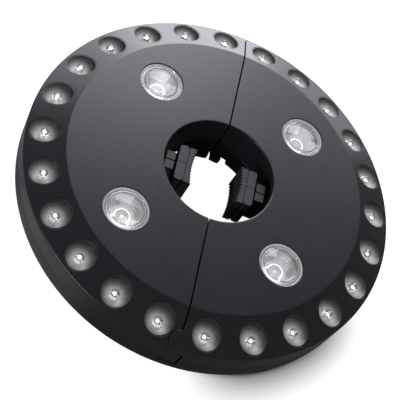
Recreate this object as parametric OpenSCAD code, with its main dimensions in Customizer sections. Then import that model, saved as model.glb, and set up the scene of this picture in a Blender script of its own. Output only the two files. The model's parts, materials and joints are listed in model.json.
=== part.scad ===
// Patio umbrella light: a flat round lamp in two hinged halves that closes
// around a parasol pole. The origin is the centre of the pole passage on the
// rear plane. +Z runs along the pole towards the lit face, the jaws slide
// along X, and the halves meet on the Y axis: hinge at -Y, catch at +Y.

/* [Body] */
// Radius of the closed disc
disc_r = 105; // [100:0.5:112]
// Height from the rear plane to the lit face
body_h = 35; // [34.5:0.5:40]
// Radial width of the sloping rim
slope_w = 20.7; // [20:0.1:24]
// Fall of the sloping rim from the flat face to the outer edge
slope_drop = 7.2; // [5.5:0.1:8]
// Radius of the pole passage at the lit face
bore_r = 31.3; // [30.8:0.1:33]
// How much wider the pole passage is at the rear plane
bore_flare = 3; // [1:0.1:4]
// Height of the parting line between rear housings and front covers
parting_z = 15.5; // [14.8:0.1:16.5]
// Wall of the covers and housings
wall = 2.2; // [1.8:0.1:2.5]
// Gap between the two halves along the seam
seam_gap = 0.8; // [0.5:0.1:1.2]
// Rounding between the rear face and the outer wall
rear_round = 8; // [5:0.5:10]
// Rounding of the rim's outer edge
rim_round = 1.4; // [0.6:0.1:2]
// Rounding where the face turns into the slope
face_round = 2; // [1:0.5:4]
// Rounding of the pole passage at the lit face
bore_round = 0.8; // [0.4:0.1:1.2]
// Height of the groove along the parting line
groove = 0.4; // [0.2:0.05:0.6]

/* [Rim lights] */
// Small lights in each half
rim_count = 12; // [10:1:12]
// Distance from the disc's edge in to the row of small lights
rim_inset = 10; // [9.8:0.1:10.8]
// Radius of a small light's hole
rim_hole_r = 8.2; // [7.5:0.1:8.4]
// Length of a small light's legs over the board
rim_leg_l = 4.2; // [3.8:0.1:4.4]
// Radius of a small light's dome
rim_led_r = 2.5; // [2:0.1:2.8]
// Height of a small light above its flange
rim_led_h = 4.8; // [4:0.1:5.2]

/* [Main lights] */
// Distance from the pole axis to each main light
main_place_r = 61.1; // [59:0.1:64]
// Radius of a main light's hole in the face
main_hole_r = 12.6; // [11.5:0.1:13.5]
// Length of a main light's legs over the board
main_leg_l = 1.9; // [1.2:0.1:2.6]
// Radius of a main light's dome
main_led_r = 4; // [3:0.1:4.5]
// Height of a main light
main_led_h = 4.8; // [4:0.1:5.4]
// Edge thickness of a main lens
lens_edge = 1.2; // [0.8:0.1:1.6]
// How far a lens edge lies below the face
lens_recess = 0.8; // [0.4:0.1:1.2]
// Height of a lens crown over its edge
lens_crown = 1.2; // [0.8:0.1:1.6]

/* [Jaws] */
// Half of the opening between the pads at their ends
pad_reach = 12.8; // [12:0.1:14]
// Depth of the hollow across a pad
pad_hollow = 1.3; // [0.8:0.1:1.5]
// Thickness of a pad behind its end teeth
pad_t = 5; // [4.9:0.1:5.8]
// Width of a pad
pad_w = 22.8; // [20:0.1:23.4]
// Height of the pads along the pole
pad_h = 19.5; // [15:0.5:20]
// Height of the pads' lower end over the rear plane
pad_z = 10; // [9:0.5:11]
// Teeth on a pad
pad_teeth = 11; // [8:1:12]
// Height of a pad's teeth
tooth_h = 1.4; // [0.8:0.1:1.6]
// Thickness of the plate that carries a pad
carrier_t = 5; // [4.5:0.1:5.6]
// Width of the plate that carries a pad
carrier_w = 22.8; // [22:0.1:24]
// Width of a jaw's stem
stem_w = 11.4; // [9:0.1:12]
// Travel of each jaw away from the pole
jaw_travel = 9.5; // [7:0.5:9.8]
// Length of the jaw springs at rest
jaw_spring_l = 14.8; // [14:0.1:15.6]
// Outer radius of a jaw spring
jaw_spring_r = 3.2; // [2.5:0.1:3.6]

/* [Power] */
// Diameter of a cell
cell_d = 14.5; // [14:0.1:14.5]
// Length of a cell with its tip
cell_len = 50.5; // [49:0.1:51]
// Length of a contact spring
contact_spring_l = 4.7; // [4:0.1:5.2]
// Thickness of a battery door
door_t = 1.6; // [1.4:0.1:1.8]
// Thickness of the circuit boards
board_t = 1.6; // [1:0.1:1.8]

/* [Hinge and catch] */
// Distance from the disc's edge in to the hinge axis
hinge_inset = 3.5; // [3.3:0.1:3.8]
// Radius of the hinge knuckles
knuckle_r = 5.3; // [5:0.1:5.6]
// Radius of the hinge pin
pin_r = 1.25; // [1:0.05:1.4]
// Height where the left half's knuckle starts
knuckle_low = 11.5; // [10.5:0.1:12.5]
// Height where the left half's knuckle ends
knuckle_high = 21.4; // [20.5:0.1:22.5]
// Travel of the catch button
catch_travel = 2.6; // [2.5:0.1:3]
// How far the buttons stand out of the wall
button_proud = 1.1; // [0.9:0.1:1.5]
// Travel of the power button
press_travel = 0.8; // [0.5:0.1:0.8]

/* [Hidden] */
$fn = 96;
// clearances
knuckle_gap = 0.4;    // between the knuckles of the two halves
knuckle_over = 0.6;   // over the left half's knuckle
knuckle_under = 1.2;  // under the left half's knuckle
knuckle_room = 1;     // beside the left half's knuckle, in the outer wall
pocket_t = 1.2;       // wall round each knuckle
run_gap = 0.05;       // hinge pins in their holes
slide_gap = 0.3;      // between sliding pieces and their guides
seat_gap = 0.1;       // between pieces pushed into each other
thread_gap = 0.05;    // between screws and their pilot holes
screw_gap = 0.2;      // between screws and the holes they pass
way_gap = 0.5;        // between pieces and the cut-outs they pass
cut = 1;              // how far a cut runs past a face

// body
slope_a = atan(slope_drop / slope_w);
face_r = disc_r - slope_w;
edge_z = body_h - slope_drop;
bore_back_r = bore_r + bore_flare;
inner_z = body_h - wall;
groove_d = 0.7;
hinge_y = -(disc_r - hinge_inset);
pin_cover = 3;
tab_r = bore_r - 0.9;
tab_root_r = bore_back_r + 1.5;
tab_h = 3;
wide_tab = [0.8, 9, 1.8, 0.8];
short_tab = [0.6, 6.9, 0.6, 1.6];
ledge_from = 10.7;
ledge_r = bore_back_r - 0.8;
tab_notch_w = 3.6;
tab_notch_d = 2.7;
tab_notch_h = 2.6;

// jaws, as distances from the pole axis
window_w = carrier_w + 2 * seat_gap + 0.8;
window_top = pad_z + pad_h + 1;
rear_window_w = 36;
rear_window_z = 3;
pad_base = pad_reach + pad_t;
carrier_back = pad_base + carrier_t;
stop_at = max(bore_r + wall, carrier_back + jaw_travel) + 1;
stop_t = 1.8;
stop_y = 8;
tail_at = stop_at + stop_t + slide_gap;
tail_t = 3;
abutment_at = tail_at + tail_t + jaw_spring_l;
bay_wall = 2;
rib_t = 1.6;
rib_inner = 13;
tail_w = 2 * (rib_inner - slide_gap);
slot_t = 1.2;
block_at = carrier_back + slot_t;
block_l = 5.2;
block_drop = 1.3;
carrier_round = 1.6;
pad_neck = 0.6;
pad_inset = 0.6;
mark_w = 0.3;
stem_slit = 0.7;
slit_d = 3;
jaw_spring_y = 7.5;
jaw_spring_wire = 0.9;

// battery bay
cell_gap = 0.6;
plate_t = 0.4;
bay_at = abutment_at + bay_wall;
bay_w = 2 * cell_d + 3 * cell_gap;
bay_l = cell_len + contact_spring_l + 2 * plate_t;
door_lip = 1.2;
door_gap = 0.3;
door_z = 0.2;
door_round = 2;
door_pin_r = 0.5;
door_pin_l = 1.5;
door_mid_z = door_z + door_t / 2;
bay_floor = door_z + door_t + seat_gap;
cell_z = bay_floor + cell_gap + cell_d / 2;
bay_roof = cell_z + cell_d / 2 + slide_gap;
roof_t = 1;
door_pivot_y = -(bay_l / 2 + door_lip - door_gap - door_t / 2);
clip_w = 12;
clip_l = 9;
clip_slit = 0.7;
grip_from = 3;
grip_pitch = 2;
grip_w = 8;
grip_t = 1;
grip_d = 0.5;
cell_x = [for (i = [0, 1]) -(bay_at + cell_gap + cell_d / 2 + i * (cell_d + cell_gap))];
tip_l = 1;
tip_r = 2.75;
contact_w = 5;
contact_h = 5.5;
contact_top = cell_z + contact_h;
spring_foot_r = 4.6;
spring_head_r = 3;
spring_hole_r = 2.2;
tab_w = 3.4;
tab_l = 2.4;
lead_r = 0.6;

// boards
board_z = bay_roof + roof_t + 0.4;
board_top = board_z + board_t;
board_in_r = bay_at - 2.5;
board_out_r = disc_r - 9.5;
board_seam = 4;
retainer_z = board_z - 0.7;
retainer_t = 1.4;
rib_top = retainer_z;
retainer_w = 36.8;
retainer_end = board_in_r - 4.8;
retainer_boss_r = 2.5;

// fasteners: [radius, angle] of each
outer_r = disc_r - 12;
inner_r = bore_back_r + 7.7;
middle_r = main_place_r + 17;
cover_places = [[outer_r, 105], [outer_r, 150], [outer_r, 210], [outer_r, 255],
                [inner_r, 125], [inner_r, 235]];
board_places = [[middle_r, 100], [outer_r, 135], [outer_r, 225], [middle_r, 260]];
retainer_places = [[-(stop_at + 7), 15.6], [-(stop_at + 7), -15.6]];
cover_screw = [1.3, 16, 2.6, 1.8];
small_screw = [1.05, 6.4, 2.1, 1.4];
head_seat = 6;
slot_span = 0.6;
slot_w = 0.6;
rear_boss_r = 4.2;
front_boss_r = 3.2;
small_boss_r = 2.8;

// rim lights
rim_row_r = disc_r - rim_inset;
rim_step = 180 / rim_count;
rim_cup_wall = 0.8;
rim_cup_r = rim_hole_r - seat_gap;
rim_mouth_r = rim_cup_r - 0.5;
rim_cup_sink = 0.15;
rim_bowl_low_r = rim_led_r + 0.15;
rim_bowl_h = 1.4;
rim_collar_w = 1.6;
rim_flange_t = 1;
rim_flange_w = 0.4;
rim_leg_r = 0.25;
rim_flange_z = board_top + rim_leg_l;
rim_bowl_z = rim_flange_z + rim_flange_t + 2 * seat_gap + rim_cup_wall;
led_leg_y = 1.27;

// main lights
main_angles = [135, 225];
lens_r = main_hole_r - slide_gap;
lens_z = body_h - lens_recess - lens_edge;
main_mouth_r = lens_r - 1.1;
main_cup_wall = 0.9;
main_bowl_low_r = main_led_r + 0.15;
main_collar_w = 2.25;
main_led_flange_w = 0.5;
lens_crown_in = 1.3;
main_led_z = board_top + main_leg_l;
main_led_top = main_led_z + main_led_h;
main_rim_t = 1.1;
main_bowl_z = main_led_z + main_rim_t + 2 * seat_gap + main_cup_wall;
main_flange_r = main_hole_r + 1.9;
main_flange_t = 1.2;
main_dome_h = 1.8;
main_leg_r = 0.3;

// catch, in the left half
tongue_y = disc_r - 21;
tongue_w = 6;
tongue_z = 9.5;
tongue_t = 2.7;
tongue_l = 9.4;
tongue_room = 0.8;
notch_x = -7.6;
notch_w = 3.2;
notch_d = catch_travel - slide_gap;
post_l = 3.5;
post_y = tongue_y + notch_d - slide_gap - post_l;
arm_z = wall + slide_gap;
arm_t = 2.5;
arm_left = -9;
arm_right = -(seam_gap / 2 + wall + slide_gap);
arm_y = post_y - 2.5;
riser_y = disc_r - 12;
riser_t = 4;
shoulder_y = disc_r - wall - 0.9;
shoulder_h = 2;
cap_z = rear_round + 0.7;
cap_top = parting_z - slide_gap;
cap_left = arm_left;
cap_right = -3.4;
catch_spring_l = 8;
catch_spring_r = 1.8;
catch_spring_wire = 0.6;
guide_h = 5;
keeper_x = -8;
keeper_l = 8;

// power button and control board, in the left half
button_angle = 120;
button_r = 2.8;
button_z = 11.2;
button_flange_r = 3.8;
button_flange_t = 1.4;
button_in = disc_r - 8.2;
button_flange_at = disc_r - wall - 0.4 - button_flange_t;
switch_w = 6;
switch_t = 3.5;
plunger_r = 1.6;
plunger_l = 1.2;
control_w = 24;
control_h = 12.6;
post_t = 1.6;
post_h = 10.6;
control_at = button_in - press_travel - 0.1 - plunger_l - switch_t - board_t;

// hanging hooks
hook_x = -42;
hook_y = disc_r - 61;
hook_shank = 13;
hook_r = 5.6;
hook_t = 3;
hook_z = 3;
hook_barrel_r = 2.1;
hook_barrel_w = 7;
hook_w = 4;
hook_root = 0.6;
hook_open_a = 195;
hook_pin_r = 0.8;
hook_pin_in = 0.9;
hook_hole_in = 1;
pocket_left = 8.5;
pocket_right = 8.5;
pocket_low = 4;
pocket_high = 26.5;
pocket_depth = 5.6;
pocket_wall = 1.6;

// ---- helpers ----

// height of the rim's surface at radius r
function slope_z(r) = body_h - (r - face_r) * tan(slope_a);

// height of the rear rounding's surface at radius r
function rear_z(r) = rear_round - sqrt(pow(rear_round, 2) - pow(r - disc_r + rear_round, 2));

// points of an arc about c
function arc(c, r, a0, a1, n = 5) =
    [for (i = [0:n]) c + r * [cos(a0 + (a1 - a0) * i / n), sin(a0 + (a1 - a0) * i / n)]];

// points of a reflector's bowl, from [low_r, z0] up to [high_r, z1]
function bowl(low_r, high_r, z0, z1, grow = 0, n = 7) =
    [for (i = [0:n]) let (r = low_r + (high_r - low_r) * i / n)
        [r + grow, z0 + (z1 - z0) * (r * r - low_r * low_r) / (high_r * high_r - low_r * low_r)]];

// keeps what lies left of the seam by at least d
module left_of(d) {
    intersection() {
        children();
        translate([-2 * disc_r - d, -2 * disc_r, -disc_r])
            cube([2 * disc_r, 4 * disc_r, 3 * disc_r]);
    }
}

module right() {
    mirror([1, 0, 0]) children();
}

// a box from its low and high corners
module box(low, high) {
    translate(low) cube(high - low);
}

// a flat plate with rounded corners, centred on the origin
module slab(w, l, h, r) {
    linear_extrude(h) {
        square([w - 2 * r, l], center = true);
        square([w, l - 2 * r], center = true);
        for (x = [-1, 1], y = [-1, 1])
            translate([x * (w / 2 - r), y * (l / 2 - r)]) circle(r);
    }
}

module polar(place) {
    rotate([0, 0, place[1]]) translate([place[0], 0, 0]) children();
}

// upright frame of a small light
module at_rim(i) {
    polar([rim_row_r, 90 + rim_step * (i + 0.5)]) children();
}

module at_mains() {
    for (a = main_angles) polar([main_place_r, a]) children();
}

// local frame of the hinge
module at_hinge(z) {
    translate([0, hinge_y, z]) children();
}

// a screw with its head's top face at z = 0 and its shaft along +Z
module screw(size) {
    shaft_r = size[0];
    shaft_l = size[1];
    head_r = size[2];
    head_h = size[3];
    difference() {
        union() {
            translate([0, 0, -head_h]) cylinder(r = head_r, h = head_h);
            cylinder(r = shaft_r, h = shaft_l);
        }
        for (a = [0, 90]) rotate([0, 0, a])
            translate([-head_r * slot_span, -slot_w / 2, -head_h - cut])
                cube([2 * head_r * slot_span, slot_w, cut + head_h / 2]);
    }
}

module spring_tube(r, wire, l) {
    difference() {
        cylinder(r = r, h = l);
        translate([0, 0, -cut]) cylinder(r = r - wire, h = l + 2 * cut);
    }
}

// ---- covers ----

module front_outline() {
    rim_c = [disc_r - rim_round, edge_z + rim_round * (tan(slope_a) - 1 / cos(slope_a))];
    face_c = [disc_r - (slope_drop - face_round + face_round / cos(slope_a)) / tan(slope_a),
              body_h - face_round];
    polygon(concat(
        [[bore_r, parting_z], [disc_r, parting_z]],
        arc(rim_c, rim_round, 0, 90 - slope_a),
        arc(face_c, face_round, 90 - slope_a, 90, 3),
        arc([bore_r + bore_round, body_h - bore_round], bore_round, 90, 180)));
}

module front_cavity() {
    skin = wall / cos(slope_a);
    polygon([[bore_r + wall, parting_z - cut], [disc_r - wall, parting_z - cut],
             [disc_r - wall, slope_z(disc_r - wall) - skin],
             [face_r - (skin - wall) / tan(slope_a), inner_z], [bore_r + wall, inner_z]]);
}

module front_shell() {
    difference() {
        union() {
            difference() {
                left_of(seam_gap / 2) rotate_extrude() front_outline();
                left_of(seam_gap / 2 + wall) rotate_extrude() front_cavity();
            }
            intersection() {
                union() {
                    for (p = cover_places) polar(p)
                        translate([0, 0, parting_z]) cylinder(r = front_boss_r, h = body_h);
                    for (p = board_places) polar(p)
                        translate([0, 0, board_top]) cylinder(r = small_boss_r, h = body_h);
                    knuckle_pocket(parting_z, body_h);
                }
                rotate_extrude() front_outline();
            }
        }
        for (p = cover_places) polar(p) translate([0, 0, parting_z - cut])
            cylinder(r = cover_screw[0] + thread_gap, h = head_seat + cover_screw[1] - parting_z + 2 * cut);
        for (p = board_places) polar(p) translate([0, 0, board_top - cut])
            cylinder(r = small_screw[0] + thread_gap, h = small_screw[1]);
        at_mains() translate([0, 0, inner_z - cut]) cylinder(r = main_hole_r, h = wall + 2 * cut);
        for (i = [0:rim_count - 1]) at_rim(i)
            translate([0, 0, rim_bowl_z - rim_cup_wall - seat_gap]) cylinder(r = rim_hole_r, h = body_h);
        box([-(bore_r + wall + cut), -window_w / 2, parting_z - cut],
            [0, window_w / 2, window_top]);
    }
}

// the disc's full outline, with the parting line filled
module disc_outline() {
    front_outline();
    rear_outline();
    translate([bore_back_r, rear_round]) square([disc_r - bore_back_r, parting_z + wall - rear_round]);
}

// a post on the hinge axis, cut to the disc's outline
module hinge_post(r, z0, z1) {
    intersection() {
        at_hinge(z0) cylinder(r = r, h = z1 - z0);
        rotate_extrude() disc_outline();
    }
}

module knuckle(z0, z1) {
    hinge_post(knuckle_r, z0, z1);
}

// solid ground round the other half's knuckles, before they are cut out
module knuckle_pocket(z0, z1) {
    left_of(seam_gap / 2) hinge_post(knuckle_r + knuckle_gap + pocket_t, z0, z1);
}

module hinge_cut(z0, z1, gap) {
    at_hinge(z0) cylinder(r = knuckle_r + gap, h = z1 - z0);
}

// wider room round the left half's knuckle, outside the hinge axis
module hinge_relief(z0, z1) {
    intersection() {
        hinge_cut(z0, z1, knuckle_room);
        box([-disc_r, -disc_r - cut, z0], [disc_r, hinge_y, z1]);
    }
}

module pin_hole(z0, z1) {
    at_hinge(z0) cylinder(r = pin_r + run_gap, h = z1 - z0);
}

pin_low = rear_z(disc_r - hinge_inset + pin_r) + screw_gap;
pin_high = slope_z(disc_r - hinge_inset) - pin_cover;

module left_front_cover() {
    color("DimGray") difference() {
        front_shell();
        hinge_cut(parting_z - cut, knuckle_high + knuckle_over, seat_gap);
        hinge_cut(knuckle_high, body_h + cut, knuckle_gap);
    }
}

module right_front_cover() {
    color("DimGray") difference() {
        union() {
            difference() {
                right() front_shell();
                hinge_cut(parting_z - cut, knuckle_high + knuckle_over, knuckle_gap);
                hinge_relief(parting_z - cut, knuckle_high + knuckle_over);
            }
            knuckle(knuckle_high + knuckle_over, body_h);
        }
        pin_hole(knuckle_high, pin_high + slide_gap);
    }
}

// ---- rear housings ----

module rear_outline() {
    polygon(concat(
        arc([bore_back_r + 1, 1], 1, 180, 270, 3),
        arc([disc_r - rear_round, rear_round], rear_round, 270, 360, 8),
        [[disc_r, parting_z - groove], [disc_r - groove_d, parting_z - groove],
         [disc_r - groove_d, parting_z], [bore_r + groove_d, parting_z],
         [bore_r + groove_d, parting_z - groove], [bore_r, parting_z - groove]]));
}

module rear_cavity() {
    polygon(concat(
        [[bore_back_r + wall, wall]],
        arc([disc_r - rear_round, rear_round], rear_round - wall, 270, 360, 8),
        [[disc_r - wall, parting_z + cut], [bore_r + wall, parting_z + cut]]));
}

// a point at distance x from the seam and r from the pole axis
function off_seam(x, r) = [-x, sqrt(r * r - x * x)];

// a small tab on the rim of the passage: [from, to, rounding at the seam, rounding at the side]
module bore_tab(size) {
    seam_c = off_seam(size[0] + size[2], tab_r + size[2]);
    side_c = off_seam(size[1] - size[3], tab_r + size[3]);
    seam_a = atan2(-seam_c[1], -seam_c[0]);
    side_a = atan2(-side_c[1], -side_c[0]);
    linear_extrude(tab_h) polygon(concat(
        [off_seam(size[1], tab_root_r), off_seam(size[0], tab_root_r)],
        arc(seam_c, size[2], 0, seam_a),
        arc(side_c, size[3], side_a, -180)));
}

// a thin ledge on the passage's wall, from beside the tab to the jaw's window
module bore_ledge() {
    intersection() {
        difference() {
            cylinder(r = tab_root_r, h = tab_h);
            translate([0, 0, -cut]) cylinder(r = ledge_r, h = tab_h + 2 * cut);
        }
        box([-disc_r, rear_window_w / 2, 0], [-ledge_from, disc_r, tab_h]);
    }
}

// tabs next to the seam, the wide one on the side that dir gives
module bore_tabs(dir) {
    for (s = [-1, 1]) mirror([0, s < 0 ? 1 : 0, 0]) {
        bore_tab(s == dir ? wide_tab : short_tab);
        bore_ledge();
    }
}

module jaw_guides() {
    for (s = [-1, 1]) {
        y0 = s * rib_inner;
        y1 = s * (rib_inner + rib_t);
        box([-abutment_at - cut, min(y0, y1), wall - cut], [-stop_at, max(y0, y1), rib_top]);
        box([-stop_at - stop_t, min(s * stop_y, y1), wall - cut],
            [-stop_at, max(s * stop_y, y1), rib_top]);
    }
    for (p = retainer_places)
        translate([p[0], p[1], wall - cut]) cylinder(r = retainer_boss_r, h = rib_top - wall + cut);
}

module bay_box(grow, z0, z1) {
    box([-(bay_at + bay_w + grow), -bay_l / 2 - grow, z0], [-bay_at + grow, bay_l / 2 + grow, z1]);
}

module in_bay(z) {
    translate([-(bay_at + bay_w / 2), 0, z]) children();
}

module at_hook(dir) {
    translate([hook_x, 0, 0]) rotate([0, 0, dir > 0 ? 0 : 180]) translate([0, hook_y, 0]) children();
}

module rear_shell(hook_dir) {
    difference() {
        union() {
            difference() {
                left_of(seam_gap / 2) rotate_extrude() rear_outline();
                left_of(seam_gap / 2 + wall) rotate_extrude() rear_cavity();
                box([-(bore_back_r + wall + cut), -rear_window_w / 2, rear_window_z],
                    [0, rear_window_w / 2, parting_z + cut]);
            }
            for (p = cover_places) polar(p)
                translate([0, 0, wall - cut]) cylinder(r = rear_boss_r, h = parting_z - wall + cut);
            jaw_guides();
            knuckle_pocket(0, parting_z);
            bay_box(bay_wall, wall - cut, bay_roof + roof_t);
            at_hook(hook_dir) box([-pocket_left - pocket_wall, -pocket_low - pocket_wall, wall - cut],
                [pocket_right + pocket_wall, pocket_high + pocket_wall, pocket_depth + pocket_wall]);
            bore_tabs(hook_dir);
        }
        for (p = cover_places) polar(p) {
            translate([0, 0, -cut]) cylinder(r = cover_screw[2] + slide_gap, h = head_seat + cut);
            cylinder(r = cover_screw[0] + screw_gap, h = parting_z + cut);
        }
        for (p = retainer_places) translate([p[0], p[1], rib_top - small_screw[1]])
            cylinder(r = small_screw[0] + thread_gap, h = small_screw[1] + cut);
        mirror([0, hook_dir > 0 ? 1 : 0, 0])
            box([-ledge_from, 0, -cut], [tab_notch_w - ledge_from, bore_back_r + tab_notch_d, tab_notch_h]);
        bay_box(0, -cut, bay_roof);
        in_bay(-cut) {
            recess_w = bay_w + 2 * door_lip;
            recess_l = bay_l + 2 * door_lip;
            slab(recess_w, recess_l, bay_floor + cut, door_round);
            translate([-recess_w / 2, -recess_l / 2, 0]) cube([recess_w, recess_l / 2, bay_floor + cut]);
        }
        for (x = cell_x)
            box([x - tab_w / 2 - slide_gap, -(bay_l / 2 + bay_wall + cut), contact_top - 2 * plate_t],
                [x + tab_w / 2 + slide_gap, -bay_l / 2 + cut, contact_top]);
        door_pins(door_pin_r + run_gap, door_pin_l + slide_gap);
        at_hook(hook_dir) {
            box([-pocket_left, -pocket_low, -cut], [pocket_right, pocket_high, pocket_depth]);
            translate([-pocket_left - hook_hole_in, 0, hook_z]) rotate([0, 90, 0])
                cylinder(r = hook_pin_r + run_gap, h = pocket_left + pocket_right + 2 * hook_hole_in);
        }
    }
}

module at_button() {
    rotate([0, 0, button_angle]) translate([0, 0, button_z]) rotate([0, 90, 0]) children();
}

// slotted posts that hold the control board upright
module control_posts() {
    rotate([0, 0, button_angle]) for (s = [-1, 1])
        difference() {
            box([control_at - post_t, s * control_w / 2 - post_t, wall - cut],
                [control_at + board_t + post_t, s * control_w / 2 + post_t, wall + post_h]);
            box([control_at - slide_gap / 2, -control_w / 2 - slide_gap / 2, wall - 2 * cut],
                [control_at + board_t + slide_gap / 2, control_w / 2 + slide_gap / 2, parting_z]);
        }
}

module left_rear_housing() {
    color("DimGray") difference() {
        union() {
            difference() {
                rear_shell(1);
                hinge_cut(-cut, knuckle_low, knuckle_gap);
            }
            knuckle(knuckle_low, knuckle_high);
            control_posts();
            // guide, spring abutment and keeper of the catch
            guide_x = arm_left - slide_gap;
            spring_end = arm_y - catch_spring_l;
            guide_top = wall + guide_h;
            box([guide_x - rib_t, spring_end - rib_t, wall - cut], [guide_x, riser_y, guide_top]);
            box([guide_x - rib_t, spring_end - rib_t, wall - cut],
                [-seam_gap / 2 - cut, spring_end, guide_top]);
            box([guide_x - rib_t, arm_y, arm_z + arm_t + slide_gap],
                [keeper_x, arm_y + keeper_l, guide_top]);
        }
        pin_hole(knuckle_low - cut, knuckle_high + cut);
        // way of the tongue through the seam wall
        box([-(seam_gap / 2 + wall + slide_gap), tongue_y - tongue_room, tongue_z - tongue_room],
            [0, tongue_y + tongue_w + tongue_room, tongue_z + tongue_t + tongue_room]);
        // slot of the catch button, open at the parting line
        box([cap_left - slide_gap, riser_y + riser_t, cap_z - slide_gap],
            [cap_right + slide_gap, disc_r + cut, parting_z + cut]);
        at_button() cylinder(r = button_r + slide_gap, h = disc_r + cut);
    }
}

// the striker tongue: a ramp at its tip and a notch for the catch's post
module tongue_outline() {
    root = seam_gap / 2 + wall - 0.5;
    notch_y = tongue_y + notch_d;
    polygon([[root, tongue_y], [notch_x + notch_w, tongue_y], [notch_x + notch_w, notch_y],
             [notch_x, notch_y], [notch_x, tongue_y + 0.6], [-tongue_l, notch_y + 0.3],
             [-tongue_l, tongue_y + tongue_w - 1], [1 - tongue_l, tongue_y + tongue_w],
             [root, tongue_y + tongue_w]]);
}

module right_rear_housing() {
    color("DimGray") difference() {
        union() {
            difference() {
                right() rear_shell(-1);
                hinge_cut(knuckle_low - knuckle_under, parting_z + cut, knuckle_gap);
                hinge_relief(knuckle_low - knuckle_under, parting_z + cut);
            }
            knuckle(0, knuckle_low - knuckle_under);
            translate([0, 0, tongue_z]) linear_extrude(tongue_t) tongue_outline();
        }
        pin_hole(-cut, knuckle_low + cut);
    }
}

// the door, with a rounded edge on its pivots and a spring clip at the other end
module battery_door() {
    door_w = bay_w + 2 * (door_lip - door_gap);
    door_end = bay_l / 2 + door_lip - door_gap;
    clip_at = door_end - clip_l;
    difference() {
        union() {
            in_bay(door_z) linear_extrude(door_t) difference() {
                translate([-door_w / 2, door_pivot_y]) square([door_w, door_end - door_pivot_y]);
                for (s = [-1, 1]) translate([s * door_w / 2, door_end]) rotate([0, 0, 45])
                    square(door_round, center = true);
            }
            in_bay(door_mid_z) translate([-door_w / 2, door_pivot_y, 0]) rotate([0, 90, 0])
                cylinder(r = door_t / 2, h = door_w);
        }
        in_bay(0) {
            for (s = [-1, 1]) box([s * clip_w / 2 - clip_slit / 2, clip_at, -cut],
                [s * clip_w / 2 + clip_slit / 2, door_end + cut, door_z + door_t + cut]);
            for (i = [0:2]) translate([0, clip_at + grip_from + grip_pitch * i, 0])
                box([-grip_w / 2, -grip_t / 2, -cut], [grip_w / 2, grip_t / 2, door_z + grip_d]);
        }
    }
    door_pins(door_pin_r, door_pin_l);
}

// the stub pins on both sides of the door, or their holes
module door_pins(r, l) {
    door_w = bay_w + 2 * (door_lip - door_gap);
    in_bay(door_mid_z) for (s = [-1, 1])
        translate([s * (door_w / 2 + door_gap + l / 2 - 0.4), door_pivot_y, 0])
            rotate([0, 90, 0]) cylinder(r = r, h = l + 2 * door_gap + 0.2, center = true);
}

module left_battery_door() {
    color("DimGray") battery_door();
}

module right_battery_door() {
    color("DimGray") right() battery_door();
}

// ---- lights ----

// round cups with a shallow bowl, cut just under the sloping rim
module rim_reflectors() {
    low = rim_bowl_z - rim_cup_wall;
    intersection() {
        for (i = [0:rim_count - 1]) at_rim(i) rotate_extrude() polygon(concat(
            bowl(rim_bowl_low_r, rim_mouth_r, rim_bowl_z, rim_bowl_z + rim_bowl_h),
            [[rim_mouth_r, body_h], [rim_cup_r, body_h], [rim_cup_r, low + rim_bowl_h / 2]],
            [[rim_bowl_low_r + rim_collar_w, low], [rim_bowl_low_r, low]]));
        rotate_extrude() polygon([[0, 0], [disc_r, 0], [disc_r, edge_z - rim_cup_sink],
            [face_r - disc_r / 10, slope_z(face_r - disc_r / 10) - rim_cup_sink], [0, body_h]]);
    }
}

module rim_leds() {
    barrel_h = rim_flange_t + rim_led_h - rim_led_r;
    for (i = [0:rim_count - 1]) at_rim(i) {
        translate([0, 0, rim_flange_z]) cylinder(r = rim_led_r + rim_flange_w, h = rim_flange_t);
        translate([0, 0, rim_flange_z]) cylinder(r = rim_led_r, h = barrel_h);
        translate([0, 0, rim_flange_z + barrel_h]) sphere(rim_led_r);
        for (y = [-led_leg_y, led_leg_y]) translate([0, y, board_top])
            cylinder(r = rim_leg_r, h = rim_leg_l + rim_flange_t / 2);
    }
}

module main_reflectors() {
    at_mains() {
        rotate_extrude() polygon(concat(
            bowl(main_bowl_low_r, main_mouth_r, main_bowl_z, lens_z),
            [[lens_r, lens_z], [lens_r, inner_z], [main_flange_r, inner_z],
             [main_flange_r, inner_z - main_flange_t], [main_mouth_r, inner_z - main_flange_t]],
            [[main_bowl_low_r + main_collar_w, main_bowl_z - main_cup_wall],
             [main_bowl_low_r, main_bowl_z - main_cup_wall]]));
    }
}

module main_lenses() {
    crown_r = lens_r - lens_crown_in;
    ball_r = (crown_r * crown_r + lens_crown * lens_crown) / (2 * lens_crown);
    at_mains() {
        translate([0, 0, lens_z]) cylinder(r = lens_r, h = lens_edge);
        intersection() {
            translate([0, 0, lens_z + lens_edge + lens_crown - ball_r]) sphere(ball_r);
            translate([0, 0, lens_z]) cylinder(r = lens_r, h = lens_edge + 2 * lens_crown);
        }
    }
}

module main_leds() {
    ball_r = (main_led_r * main_led_r + main_dome_h * main_dome_h) / (2 * main_dome_h);
    at_mains() {
        translate([0, 0, main_led_z]) cylinder(r = main_led_r + main_led_flange_w, h = main_rim_t);
        intersection() {
            translate([0, 0, main_led_z]) cylinder(r = main_led_r, h = main_led_top - main_led_z);
            translate([0, 0, main_led_top - ball_r]) sphere(ball_r);
        }
        for (y = [-led_leg_y, led_leg_y]) translate([0, y, board_top])
            cylinder(r = main_leg_r, h = main_leg_l + main_rim_t / 2);
    }
}

module led_board() {
    difference() {
        left_of(board_seam) translate([0, 0, board_z]) difference() {
            cylinder(r = board_out_r, h = board_t);
            translate([0, 0, -cut]) cylinder(r = board_in_r, h = board_t + 2 * cut);
        }
        for (p = cover_places) polar(p) translate([0, 0, board_z - cut])
            cylinder(r = front_boss_r + way_gap, h = board_t + 2 * cut);
        for (p = board_places) polar(p) translate([0, 0, board_z - cut])
            cylinder(r = small_screw[0] + screw_gap, h = board_t + 2 * cut);
    }
}

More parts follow.
